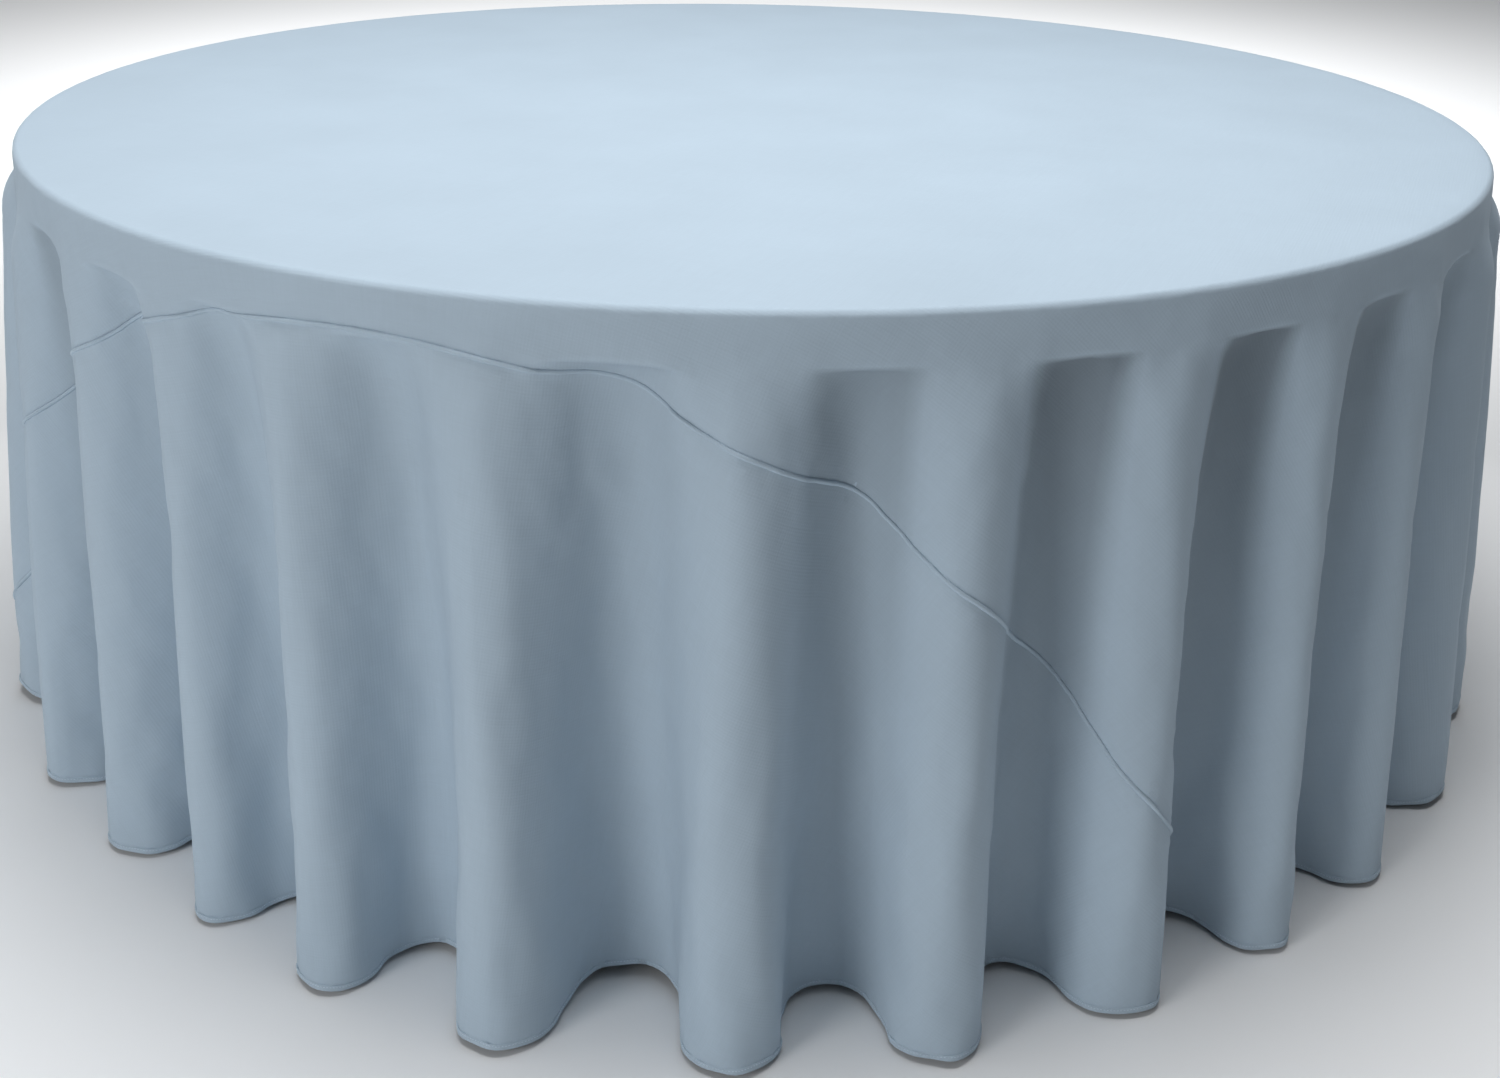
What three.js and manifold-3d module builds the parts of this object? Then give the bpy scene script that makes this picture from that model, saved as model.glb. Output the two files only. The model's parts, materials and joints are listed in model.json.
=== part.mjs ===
// A round folding banquet table under a floor-length round tablecloth, in millimetres, +Z up.
// The origin is on the floor, under the middle of the table. The legs fold about axes along Y.
import * as THREE from 'three';
import { mergeVertices } from 'three/addons/utils/BufferGeometryUtils.js';
import Module from 'manifold-3d';

const wasm = await Module();
wasm.setup();

// Overall sizes
const topDiameter = 1828.8;       // 72 in round top
const tableHeight = 762;          // floor to the top surface, 30 in
const hemClearance = 8;           // floor to the cloth's hem

// Gaps between pieces
const touchGap = 0.3;             // pieces that bear on each other
const turnGap = 0.5;              // pieces that turn beside each other

// Top panel: hollow blow-moulded board with a deep rim round its edge
const rimDepth = 50;
const rimWidth = 30;
const deckDepth = 30;             // thickness inside the rim
const skinThickness = 4;
const edgeRound = 6;              // rounding along the top edge
const rimFoot = 3;                // chamfer along the rim's lower edge
const ventRadius = 6;             // blow-pin hole in the middle of the underside

// Rails: steel hat section, screwed to the underside
const railSpread = 215;           // middle of the table to each rail
const railDepth = 25;
const railWidth = 26;             // across the closed bottom
const railFlange = 16;
const railWall = 2;
const railEndMargin = 130;        // rail's end to the table's edge
const railScrewCount = 4;
const railScrewMargin = 40;       // rail's end to its first screw

// Leg frames: bent steel tube
const tubeDiameter = 28.6;
const tubeWall = 1.4;
const legSpread = 300;            // middle of the table to each leg tube
const legBend = 60;
const hingeInset = 199.4;         // table's edge to the folding axis
const legSplay = 2;               // degrees, feet outboard of the folding axis
const crossbarDiameter = 22;
const lowerCrossbarHeight = 92;   // floor to the lower crossbar's middle

// Foot caps
const capWall = 3;
const capDepth = 34;
const capSole = 7;

// Leg saddles
const saddleWidth = 26;
const saddleThickness = 2.5;
const saddleFlange = 22;

// Folding braces: two flat links between the leg and the underside
const braceReach = 330;           // folding axis to the brace's two ends
const braceStandOff = 25;         // crossbar's middle to the brace's pivot
const linkWidth = 18;
const linkThickness = 3;
const anchorFlange = 20;
const anchorLength = 56;
const anchorScrewMargin = 10;     // anchor's end to its screw

// Fasteners
const screwRadius = 2.5;
const screwHeadRadius = 5;
const screwHeadHeight = 2.6;
const screwLength = 14;
const rivetRadius = 3;
const rivetHeadRadius = 5.5;
const rivetHeadHeight = 2.4;

// Tablecloth
const clothThickness = 1;         // held thicker than the real 0.4 mm, outwards
const clothGap = 0.8;             // top panel to cloth
const foldCount = 28;
const seamDrop = 36;              // table's edge to the nearest point of each seam, down the skirt
const seamAzimuth = -113;         // degrees, the front seam's nearest point
const seamGap = 1;                // between the panels' cut edges
const lobeReach = 0.39;           // outward swing of each fold at the hem, in fold widths
const lobeOnset = 0.55;           // power that the swing grows with, down the skirt
const foldTakeUp = 6;             // skirt length that the leaning folds use up

// Worked out from the above
const topRadius = topDiameter / 2;
const deckUnderside = tableHeight - deckDepth;
const railBottom = deckUnderside - touchGap - railDepth;
const tubeRadius = tubeDiameter / 2;
const crossbarRadius = crossbarDiameter / 2;
const hingeX = topRadius - hingeInset;
const hingeZ = railBottom - turnGap - tubeRadius;
const splay = THREE.MathUtils.degToRad(legSplay);
const pivotRadius = Math.hypot(braceReach, braceStandOff);
const foldAngle = Math.PI / 2 + splay;
const linkLength = pivotRadius * Math.sin(foldAngle / 2);
const anchorX = hingeX - braceReach;
const anchorZ = hingeZ + braceStandOff;

// Side planes of the brace's pieces, along Y
const lowerLinkY = 0;
const upperLinkY = lowerLinkY - linkThickness - turnGap;
const anchorY = upperLinkY - linkThickness - turnGap;
const lugY = lowerLinkY + linkThickness + turnGap;

const coarseSides = 8;
const tubeSides = 12;
const capSides = 16;
const copeSides = 24;             // the crossbars' ends, cut round to the leg tubes
const topSides = 72;
const edgeSteps = 3;

const through = 4;                // a hole's cutter, in wall thicknesses
const soleSpare = 1;              // left under the foot caps before they are cut level

const materials = {
  cloth: { color: 0xb4c6d6, roughness: 0.75, metalness: 0 },
  top: { color: 0xdcdcd6, roughness: 0.6, metalness: 0 },
  steel: { color: 0x7d8184, roughness: 0.45, metalness: 0.6 },
  zinc: { color: 0xb9bcc0, roughness: 0.35, metalness: 1 },
  rubber: { color: 0x2b2c2e, roughness: 0.85, metalness: 0 },
};

const table = new THREE.Group();

function addMesh(parent, name, geometry, kind) {
  const mesh = new THREE.Mesh(geometry, new THREE.MeshStandardMaterial(materials[kind]));
  mesh.name = name;
  parent.add(mesh);
  return mesh;
}

// Solids for cutting and joining
function toSolid(geometry) {
  const bare = new THREE.BufferGeometry();
  bare.setAttribute('position', geometry.getAttribute('position').clone());
  if (geometry.index) {
    bare.setIndex(geometry.index.clone());
  }
  const merged = mergeVertices(bare, 1e-3);
  const corners = merged.index.array;
  const triangles = [];
  for (let first = 0; first < corners.length; first += 3) {
    const [a, b, c] = corners.slice(first, first + 3);
    if (a !== b && b !== c && c !== a) {
      triangles.push(a, b, c);
    }
  }
  const mesh = new wasm.Mesh({
    numProp: 3,
    vertProperties: new Float32Array(merged.getAttribute('position').array),
    triVerts: new Uint32Array(triangles),
  });
  return new wasm.Manifold(mesh);
}

function toGeometry(solid) {
  const mesh = solid.getMesh();
  const geometry = new THREE.BufferGeometry();
  geometry.setAttribute('position', new THREE.BufferAttribute(mesh.vertProperties, 3));
  geometry.setIndex(new THREE.BufferAttribute(mesh.triVerts, 1));
  geometry.computeVertexNormals();
  return geometry;
}

function drill(geometry, cutters) {
  let solid = toSolid(geometry);
  for (const cutter of cutters) {
    solid = solid.subtract(toSolid(cutter));
  }
  return toGeometry(solid);
}

// A cylinder along Z (or along Y) about a point
function rod(radius, length, x, y, z, alongY = false, sides = coarseSides) {
  const geometry = new THREE.CylinderGeometry(radius, radius, length, sides);
  if (!alongY) {
    geometry.rotateX(Math.PI / 2);
  }
  return geometry.translate(x, y, z);
}

// A body of revolution about Z from (radius, height) pairs that start and end on the axis
function turned(profile, sides) {
  const points = profile.map(([radius, height]) => new THREE.Vector2(radius, height));
  return new THREE.LatheGeometry(points, sides).rotateX(Math.PI / 2);
}

// A flat outline in the XZ plane with a thickness along Y, centred on planeY
function plate(shape, thickness, planeY, curveSegments = 6) {
  const geometry = new THREE.ExtrudeGeometry(shape, { depth: thickness, bevelEnabled: false, curveSegments });
  return geometry.rotateX(Math.PI / 2).translate(0, planeY + thickness / 2, 0);
}

// A path through corners with round bends, stepped only where it bends
class BentPath extends THREE.Curve {
  constructor(corners, bend, bendSteps) {
    super();
    this.stations = [];
    const last = corners.length - 1;
    corners.forEach((corner, index) => {
      if (index === 0 || index === last) {
        const other = index === 0 ? corners[1] : corners[last - 1];
        const heading = new THREE.Vector3().subVectors(other, corner).normalize();
        this.stations.push({ point: corner, heading: index === 0 ? heading : heading.negate() });
        return;
      }
      const into = new THREE.Vector3().subVectors(corner, corners[index - 1]).normalize();
      const away = new THREE.Vector3().subVectors(corners[index + 1], corner).normalize();
      const start = corner.clone().addScaledVector(into, -bend);
      for (let step = 0; step <= bendSteps; step += 1) {
        const angle = (step / bendSteps) * (Math.PI / 2);
        const point = start.clone();
        point.addScaledVector(into, bend * Math.sin(angle));
        point.addScaledVector(away, bend * (1 - Math.cos(angle)));
        const heading = into.clone().multiplyScalar(Math.cos(angle));
        heading.addScaledVector(away, Math.sin(angle));
        this.stations.push({ point, heading });
      }
    });
  }

  station(u) {
    return this.stations[Math.round(u * (this.stations.length - 1))];
  }

  getPointAt(u, target = new THREE.Vector3()) {
    return target.copy(this.station(u).point);
  }

  getTangentAt(u, target = new THREE.Vector3()) {
    return target.copy(this.station(u).heading);
  }
}

// A round hollow tube through corners with round bends
function tube(corners, bend, radius, wall, bendSteps = 5) {
  const path = new BentPath(corners, bend, bendSteps);
  const ring = (size) => Array.from({ length: tubeSides }, (_, side) => {
    const angle = (side / tubeSides) * 2 * Math.PI;
    return new THREE.Vector2(size * Math.cos(angle), size * Math.sin(angle));
  });
  const section = new THREE.Shape(ring(radius));
  section.holes.push(new THREE.Path(ring(radius - wall)));
  return new THREE.ExtrudeGeometry(section, {
    steps: path.stations.length - 1,
    extrudePath: path,
    bevelEnabled: false,
  });
}

// Top panel
function topPanel(holes) {
  const inner = topRadius - rimWidth;
  const rimBottom = tableHeight - rimDepth;
  const profile = [[0, tableHeight]];
  for (let step = 0; step <= edgeSteps; step += 1) {
    const angle = (step / edgeSteps) * (Math.PI / 2);
    profile.push([
      topRadius - edgeRound + edgeRound * Math.sin(angle),
      tableHeight - edgeRound + edgeRound * Math.cos(angle),
    ]);
  }
  profile.push([topRadius, rimBottom + rimFoot]);
  profile.push([topRadius - rimFoot, rimBottom]);
  profile.push([inner, rimBottom]);
  profile.push([inner, deckUnderside]);
  profile.push([ventRadius, deckUnderside]);
  profile.push([ventRadius, deckUnderside + skinThickness]);
  profile.push([inner + skinThickness, deckUnderside + skinThickness]);
  profile.push([inner + skinThickness, rimBottom + skinThickness]);
  profile.push([topRadius - skinThickness, rimBottom + skinThickness]);
  profile.push([topRadius - skinThickness, tableHeight - skinThickness]);
  profile.push([0, tableHeight - skinThickness]);
  const board = turned(profile.reverse(), topSides);
  const cutters = holes.map(([x, y]) => {
    return rod(screwRadius + touchGap, through * skinThickness, x, y, deckUnderside);
  });
  return drill(board, cutters);
}

// A pan-head screw, head down, from the underside of its head
function screw() {
  const profile = [
    [0, -screwHeadHeight],
    [screwHeadRadius * 0.7, -screwHeadHeight],
    [screwHeadRadius, -screwHeadHeight * 0.4],
    [screwHeadRadius, 0],
    [screwRadius, 0],
    [screwRadius, screwLength - screwRadius],
    [0, screwLength],
  ];
  return turned(profile, coarseSides);
}

// A rivet along Y: its head is on the side of `facing`, its shank ends flush
function rivet(shank, facing) {
  const profile = [
    [0, -rivetHeadHeight],
    [rivetHeadRadius * 0.6, -rivetHeadHeight * 0.8],
    [rivetHeadRadius, 0],
    [rivetRadius, 0],
    [rivetRadius, shank],
    [0, shank],
  ];
  return turned(profile, coarseSides).rotateX((facing * Math.PI) / 2);
}

// Rails under the top
function railSection() {
  const half = railWidth / 2;
  const outline = [
    [-half - railFlange, 0], [-half - railFlange, -railWall], [-half, -railWall], [-half, -railDepth],
    [half, -railDepth], [half, -railWall], [half + railFlange, -railWall], [half + railFlange, 0],
    [half - railWall, 0], [half - railWall, railWall - railDepth],
    [railWall - half, railWall - railDepth], [railWall - half, 0],
  ];
  return new THREE.Shape(outline.map(([across, up]) => new THREE.Vector2(across, up)));
}

const saddleHalf = tubeRadius + turnGap + saddleThickness;
const saddleScrewX = [-1, 1].map((end) => end * (saddleHalf + saddleFlange / 2));
const railHalf = topRadius - railEndMargin;
const railScrewOut = railWidth / 2 + railFlange / 2;
const railScrewReach = railHalf - railScrewMargin;

// Screws along a rail stand on its two flanges in turn
function railScrewPlaces(side) {
  return Array.from({ length: railScrewCount }, (_, index) => {
    const along = -railScrewReach + (2 * railScrewReach * index) / (railScrewCount - 1);
    const flange = index % 2 === 0 ? 1 : -1;
    return [along, side * railSpread + flange * railScrewOut];
  });
}

function rail(side) {
  const length = 2 * railHalf;
  const geometry = new THREE.ExtrudeGeometry(railSection(), { depth: length, bevelEnabled: false });
  geometry.rotateX(Math.PI / 2).rotateZ(Math.PI / 2);
  geometry.translate(-railHalf, side * railSpread, deckUnderside - touchGap);
  const cutters = railScrewPlaces(side).map(([x, y]) => {
    return rod(screwRadius + touchGap, through * railWall, x, y, deckUnderside - railWall);
  });
  for (const end of [-1, 1]) {
    for (const offset of saddleScrewX) {
      const x = end * hingeX + offset;
      cutters.push(rod(screwRadius + touchGap, through * railWall, x, side * railSpread, railBottom));
    }
  }
  return drill(geometry, cutters);
}

// Saddle: a strap under the leg frame's top bar, its two ears against the rail
function saddle() {
  const inner = tubeRadius + turnGap;
  const top = tubeRadius + turnGap - touchGap;
  const under = top - saddleThickness;
  const ear = saddleHalf + saddleFlange;
  const shape = new THREE.Shape();
  shape.moveTo(-ear, top);
  shape.lineTo(-inner, top);
  shape.lineTo(-inner, 0);
  shape.absarc(0, 0, inner, Math.PI, 2 * Math.PI, false);
  shape.lineTo(inner, top);
  shape.lineTo(ear, top);
  shape.lineTo(ear, under);
  shape.lineTo(saddleHalf, under);
  shape.lineTo(saddleHalf, 0);
  shape.absarc(0, 0, saddleHalf, 2 * Math.PI, Math.PI, true);
  shape.lineTo(-saddleHalf, under);
  shape.lineTo(-ear, under);
  const strap = plate(shape, saddleWidth, 0, 8);
  const cutters = saddleScrewX.map((x) => {
    return rod(screwRadius + touchGap, through * saddleThickness, x, 0, top - saddleThickness / 2);
  });
  return drill(strap, cutters);
}

// Leg frame: one tube bent to an upright U with its top bar on the folding axis
const legLength = hingeZ / Math.cos(splay);
const tubeEnd = legLength - capSole - touchGap;

function legFrame() {
  const corners = [
    new THREE.Vector3(0, -legSpread, -tubeEnd),
    new THREE.Vector3(0, -legSpread, 0),
    new THREE.Vector3(0, legSpread, 0),
    new THREE.Vector3(0, legSpread, -tubeEnd),
  ];
  return tube(corners, legBend, tubeRadius, tubeWall);
}

function crossbar() {
  const ends = [new THREE.Vector3(0, -legSpread, 0), new THREE.Vector3(0, legSpread, 0)];
  const bar = tube(ends, 0, crossbarRadius, tubeWall);
  const cutters = [-1, 1].map((side) => {
    return rod(tubeRadius + touchGap, through * tubeDiameter, 0, side * legSpread, 0, false, copeSides);
  });
  return drill(bar, cutters);
}

// Foot cap: a cup over the tube's end, its sole cut level with the floor
function footCap() {
  const inside = tubeRadius + touchGap;
  const outside = inside + capWall;
  const spare = outside * Math.tan(splay) + soleSpare;
  const profile = [
    [0, -capSole - spare],
    [outside, -capSole - spare],
    [outside, capDepth - capSole],
    [inside, capDepth - capSole],
    [inside, 0],
    [0, 0],
  ];
  const cup = turned(profile, capSides).translate(0, 0, -legLength + capSole);
  const reach = 8 * outside;
  const floor = new THREE.BoxGeometry(reach, reach, reach);
  floor.translate(hingeZ * Math.tan(splay), 0, -hingeZ - reach / 2).rotateY(splay);
  return drill(cup, [floor]);
}

// Ear plate from the crossbar's side to the brace's pivot, along -X
function lug() {
  const seat = crossbarRadius + touchGap;
  const end = linkWidth / 2;
  const third = Math.PI / 3;
  const shape = new THREE.Shape();
  shape.absarc(0, 0, seat, Math.PI - third, Math.PI + third, false);
  shape.lineTo(-braceStandOff, -end);
  shape.absarc(-braceStandOff, 0, end, (3 * Math.PI) / 2, Math.PI / 2, true);
  const hole = new THREE.Path();
  hole.absarc(-braceStandOff, 0, rivetRadius + touchGap, 0, 2 * Math.PI, false);
  shape.holes.push(hole);
  return plate(shape, linkThickness, lugY);
}

// Flat link along +X from its first pivot to its second
function link(planeY) {
  const end = linkWidth / 2;
  const shape = new THREE.Shape();
  shape.absarc(0, 0, end, Math.PI / 2, (3 * Math.PI) / 2, false);
  shape.absarc(linkLength, 0, end, -Math.PI / 2, Math.PI / 2, false);
  for (const place of [0, linkLength]) {
    const hole = new THREE.Path();
    hole.absarc(place, 0, rivetRadius + touchGap, 0, 2 * Math.PI, false);
    shape.holes.push(hole);
  }
  return plate(shape, linkThickness, planeY);
}

// Anchor: a flange under the top with an ear down to the brace's pivot
const anchorScrewY = anchorY - linkThickness / 2 - anchorFlange / 2;
const anchorScrewX = [-1, 1].map((end) => end * (anchorLength / 2 - anchorScrewMargin));

function anchor() {
  const top = deckUnderside - touchGap - anchorZ;
  const flange = new THREE.BoxGeometry(anchorLength, anchorFlange + linkThickness, linkThickness);
  flange.translate(0, anchorY - anchorFlange / 2, top - linkThickness / 2);
  const end = linkWidth / 2;
  const shape = new THREE.Shape();
  shape.moveTo(-anchorLength / 2, top);
  shape.lineTo(-anchorLength / 2, top - linkThickness);
  shape.lineTo(-end, 0);
  shape.absarc(0, 0, end, Math.PI, 2 * Math.PI, false);
  shape.lineTo(anchorLength / 2, top - linkThickness);
  shape.lineTo(anchorLength / 2, top);
  const ear = plate(shape, linkThickness, anchorY);
  const joined = toSolid(flange).add(toSolid(ear));
  const cutters = anchorScrewX.map((x) => {
    return rod(screwRadius + touchGap, through * linkThickness, x, anchorScrewY, top);
  });
  cutters.push(rod(rivetRadius + touchGap, through * linkThickness, 0, anchorY, 0, true));
  return drill(toGeometry(joined), cutters);
}

// The cloth's flat cut, from its middle outwards: the flat top, the bend over the edge, the skirt
const flatRadius = topRadius - edgeRound;
const bendRadius = edgeRound + clothGap;
const skirtStart = flatRadius + (bendRadius * Math.PI) / 2;
const skirtRadius = topRadius + clothGap;
const skirtTop = tableHeight - edgeRound;
const skirtDrop = skirtTop - hemClearance;
const clothRadius = skirtStart + skirtDrop + foldTakeUp;
const seamDistance = skirtStart + seamDrop;
const foldWidth = (2 * Math.PI * skirtRadius) / foldCount;
const stepsPerFold = 4;

// Where a point of the flat cloth comes to lie. The folds swing outwards only, clear of the rim,
// so that the stiff skirt can be drawn straight up off the table.
function drape(distance, azimuth) {
  const lay = (radius, height) => {
    return new THREE.Vector3(radius * Math.cos(azimuth), radius * Math.sin(azimuth), height);
  };
  if (distance <= flatRadius) {
    return lay(distance, tableHeight + clothGap);
  }
  if (distance <= skirtStart) {
    const turn = (distance - flatRadius) / bendRadius;
    return lay(flatRadius + bendRadius * Math.sin(turn), skirtTop + bendRadius * Math.cos(turn));
  }
  const down = Math.min(1, (distance - skirtStart) / (clothRadius - skirtStart));
  const wave = (1 + Math.cos(foldCount * azimuth)) / 2;
  const lobe = lobeReach * foldWidth * down ** lobeOnset * wave;
  return lay(skirtRadius + lobe, skirtTop - skirtDrop * down);
}

// The same point lifted off the cloth's inner face
function lifted(distance, azimuth, lift) {
  const place = drape(distance, azimuth);
  if (distance === 0) {
    return place.setZ(place.z + lift);
  }
  const nudge = 0.2;
  const outer = drape(distance + nudge, azimuth).sub(drape(distance - nudge, azimuth));
  const round = drape(distance, azimuth + nudge / distance).sub(drape(distance, azimuth - nudge / distance));
  return place.addScaledVector(outer.cross(round).normalize(), lift);
}

// A sheet from columns of [distance, azimuth] points, each column running outwards
function sheet(columns, closed) {
  const rows = columns[0].length;
  const count = columns.length * rows;
  const positions = [];
  for (const lift of [0, clothThickness]) {
    for (const [distance, azimuth] of columns.flat()) {
      positions.push(...lifted(distance, azimuth, lift).toArray());
    }
  }
  const index = [];
  const quad = (a, b, c, d) => index.push(a, b, c, a, c, d);
  const last = closed ? columns.length : columns.length - 1;
  for (let column = 0; column < last; column += 1) {
    const here = column * rows;
    const next = ((column + 1) % columns.length) * rows;
    for (let row = 0; row < rows - 1; row += 1) {
      quad(count + here + row, count + here + row + 1, count + next + row + 1, count + next + row);
      quad(here + row, next + row, next + row + 1, here + row + 1);
    }
    const edge = rows - 1;
    quad(count + next + edge, count + here + edge, here + edge, next + edge);
    quad(count + here, count + next, next, here);
  }
  const geometry = new THREE.BufferGeometry();
  geometry.setAttribute('position', new THREE.BufferAttribute(new Float32Array(positions), 3));
  geometry.setIndex(index);
  return toGeometry(toSolid(geometry));
}

const skirtRows = [0.07, 0.2, 0.42, 0.7, 1].map((share) => {
  return skirtStart + share * (clothRadius - skirtStart);
});
const seams = [0, Math.PI].map((turn) => THREE.MathUtils.degToRad(seamAzimuth) + turn);

// Angle between two azimuths, from -pi to pi
function between(azimuth, other) {
  return THREE.MathUtils.euclideanModulo(azimuth - other + Math.PI, 2 * Math.PI) - Math.PI;
}

// Flat distance of a straight cut at an azimuth, or the hem where the hem is nearer
function cutDistance(azimuth, seam, offset) {
  const turn = Math.cos(between(azimuth, seam));
  const straight = turn > 0 ? (seamDistance + offset) / turn : Infinity;
  return Math.min(clothRadius, straight);
}

const evenAzimuths = Array.from({ length: foldCount * stepsPerFold }, (_, step) => {
  return (2 * Math.PI * step) / (foldCount * stepsPerFold) - Math.PI;
});

function centrePanel() {
  const reach = Math.acos((seamDistance - seamGap / 2) / clothRadius);
  const tips = seams.flatMap((seam) => [between(seam - reach, 0), between(seam + reach, 0)]);
  const azimuths = [...evenAzimuths, ...tips].sort((a, b) => a - b);
  const bend = Array.from({ length: edgeSteps + 1 }, (_, step) => {
    return flatRadius + (step / edgeSteps) * (skirtStart - flatRadius);
  });
  const rings = [0, ...bend, ...skirtRows];
  const columns = azimuths.map((azimuth) => {
    const limit = Math.min(...seams.map((seam) => cutDistance(azimuth, seam, -seamGap / 2)));
    return rings.map((distance) => [Math.min(distance, limit), azimuth]);
  });
  return sheet(columns, true);
}

function sidePanel(seam) {
  const reach = Math.acos((seamDistance + seamGap / 2) / clothRadius);
  const turns = evenAzimuths.map((azimuth) => between(azimuth, seam));
  const inside = turns.filter((turn) => Math.abs(turn) < reach - 1e-4).sort((a, b) => a - b);
  const columns = [-reach, ...inside, reach].map((turn) => {
    const azimuth = seam + turn;
    const limit = Math.abs(turn) === reach ? clothRadius : cutDistance(azimuth, seam, seamGap / 2);
    return [skirtStart, ...skirtRows].map((distance) => [Math.max(distance, limit), azimuth]);
  });
  return sheet(columns, false);
}

// Assembly
const anchorHoles = anchorScrewX.flatMap((x) => {
  return [1, -1].map((end) => [end * (anchorX + x), end * anchorScrewY]);
});
const railHoles = [-1, 1].flatMap((side) => railScrewPlaces(side));
addMesh(table, 'top_panel', topPanel([...railHoles, ...anchorHoles]), 'top');

const railNames = { front: -1, back: 1 };
for (const [name, side] of Object.entries(railNames)) {
  addMesh(table, `rail_${name}`, rail(side), 'steel');
  railScrewPlaces(side).forEach(([x, y], index) => {
    const fastener = addMesh(table, `rail_${name}_screw_${index + 1}`, screw(), 'zinc');
    fastener.position.set(x, y, deckUnderside - railWall - 2 * touchGap);
  });
}

// One end of the table: its leg frame with the crossbars, caps and brace. The other end is
// the same, turned half round.
function tableEnd(name, turn) {
  const end = new THREE.Group();
  end.rotation.z = turn;
  table.add(end);

  for (const [place, side] of Object.entries(railNames)) {
    const strap = addMesh(end, `leg_saddle_${name}_${place}`, saddle(), 'zinc');
    strap.position.set(hingeX, side * railSpread, hingeZ);
    saddleScrewX.forEach((x, index) => {
      const fastener = addMesh(end, `leg_saddle_${name}_${place}_screw_${index + 1}`, screw(), 'zinc');
      fastener.position.set(hingeX + x, side * railSpread, railBottom - saddleThickness - 2 * touchGap);
    });
  }

  const leg = new THREE.Group();
  leg.position.set(hingeX, 0, hingeZ);
  leg.rotation.y = -splay;
  end.add(leg);
  addMesh(leg, `leg_frame_${name}`, legFrame(), 'steel');
  addMesh(leg, `leg_crossbar_upper_${name}`, crossbar(), 'steel').position.z = -braceReach;
  const lowerDrop = (hingeZ - lowerCrossbarHeight) / Math.cos(splay);
  addMesh(leg, `leg_crossbar_lower_${name}`, crossbar(), 'steel').position.z = -lowerDrop;
  addMesh(leg, `brace_lug_${name}`, lug(), 'steel').position.z = -braceReach;
  for (const [place, side] of Object.entries(railNames)) {
    addMesh(leg, `foot_cap_${name}_${place}`, footCap(), 'rubber').position.y = side * legSpread;
  }

  const throughTwo = touchGap + 2 * linkThickness + 1.5 * turnGap;
  const lugRivet = addMesh(leg, `brace_lug_rivet_${name}`, rivet(throughTwo, 1), 'zinc');
  lugRivet.position.set(-braceStandOff, lugY + linkThickness / 2 + touchGap, -braceReach);

  const brace = new THREE.Group();
  brace.position.set(anchorX, 0, anchorZ);
  end.add(brace);
  addMesh(brace, `brace_anchor_${name}`, anchor(), 'steel');
  anchorScrewX.forEach((x, index) => {
    const fastener = addMesh(brace, `brace_anchor_${name}_screw_${index + 1}`, screw(), 'zinc');
    const seat = deckUnderside - linkThickness - 2 * touchGap - anchorZ;
    fastener.position.set(x, anchorScrewY, seat);
  });
  const anchorRivet = addMesh(brace, `brace_anchor_rivet_${name}`, rivet(throughTwo, -1), 'zinc');
  anchorRivet.position.y = anchorY - linkThickness / 2 - touchGap;

  // Open, the two links lie in one line from the anchor to the lug
  const lugPivot = new THREE.Vector3(-braceStandOff, 0, -braceReach);
  lugPivot.applyAxisAngle(new THREE.Vector3(0, 1, 0), -splay);
  const span = lugPivot.clone().sub(new THREE.Vector3(-braceReach, 0, braceStandOff));
  const openAngle = Math.atan2(-span.z, span.x);
  const upper = new THREE.Group();
  upper.rotation.y = openAngle;
  brace.add(upper);
  addMesh(upper, `brace_upper_link_${name}`, link(upperLinkY), 'steel');
  const throughOne = touchGap + linkThickness + turnGap / 2;
  const knuckle = addMesh(upper, `brace_knuckle_rivet_${name}`, rivet(throughOne, -1), 'zinc');
  knuckle.position.set(linkLength, upperLinkY - linkThickness / 2 - touchGap, 0);
  const lower = addMesh(end, `brace_lower_link_${name}`, link(lowerLinkY), 'steel');
  lower.position.set(hingeX + lugPivot.x, 0, hingeZ + lugPivot.z);
  lower.rotation.y = openAngle + Math.PI;
}

tableEnd('right', 0);
tableEnd('left', Math.PI);

addMesh(table, 'tablecloth_centre_panel', centrePanel(), 'cloth');
addMesh(table, 'tablecloth_front_panel', sidePanel(seams[0]), 'cloth');
addMesh(table, 'tablecloth_back_panel', sidePanel(seams[1]), 'cloth');

export default table;
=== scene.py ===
import json
import math
import time

import bmesh
import bpy
import numpy as np
from mathutils import Matrix, Vector


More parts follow.
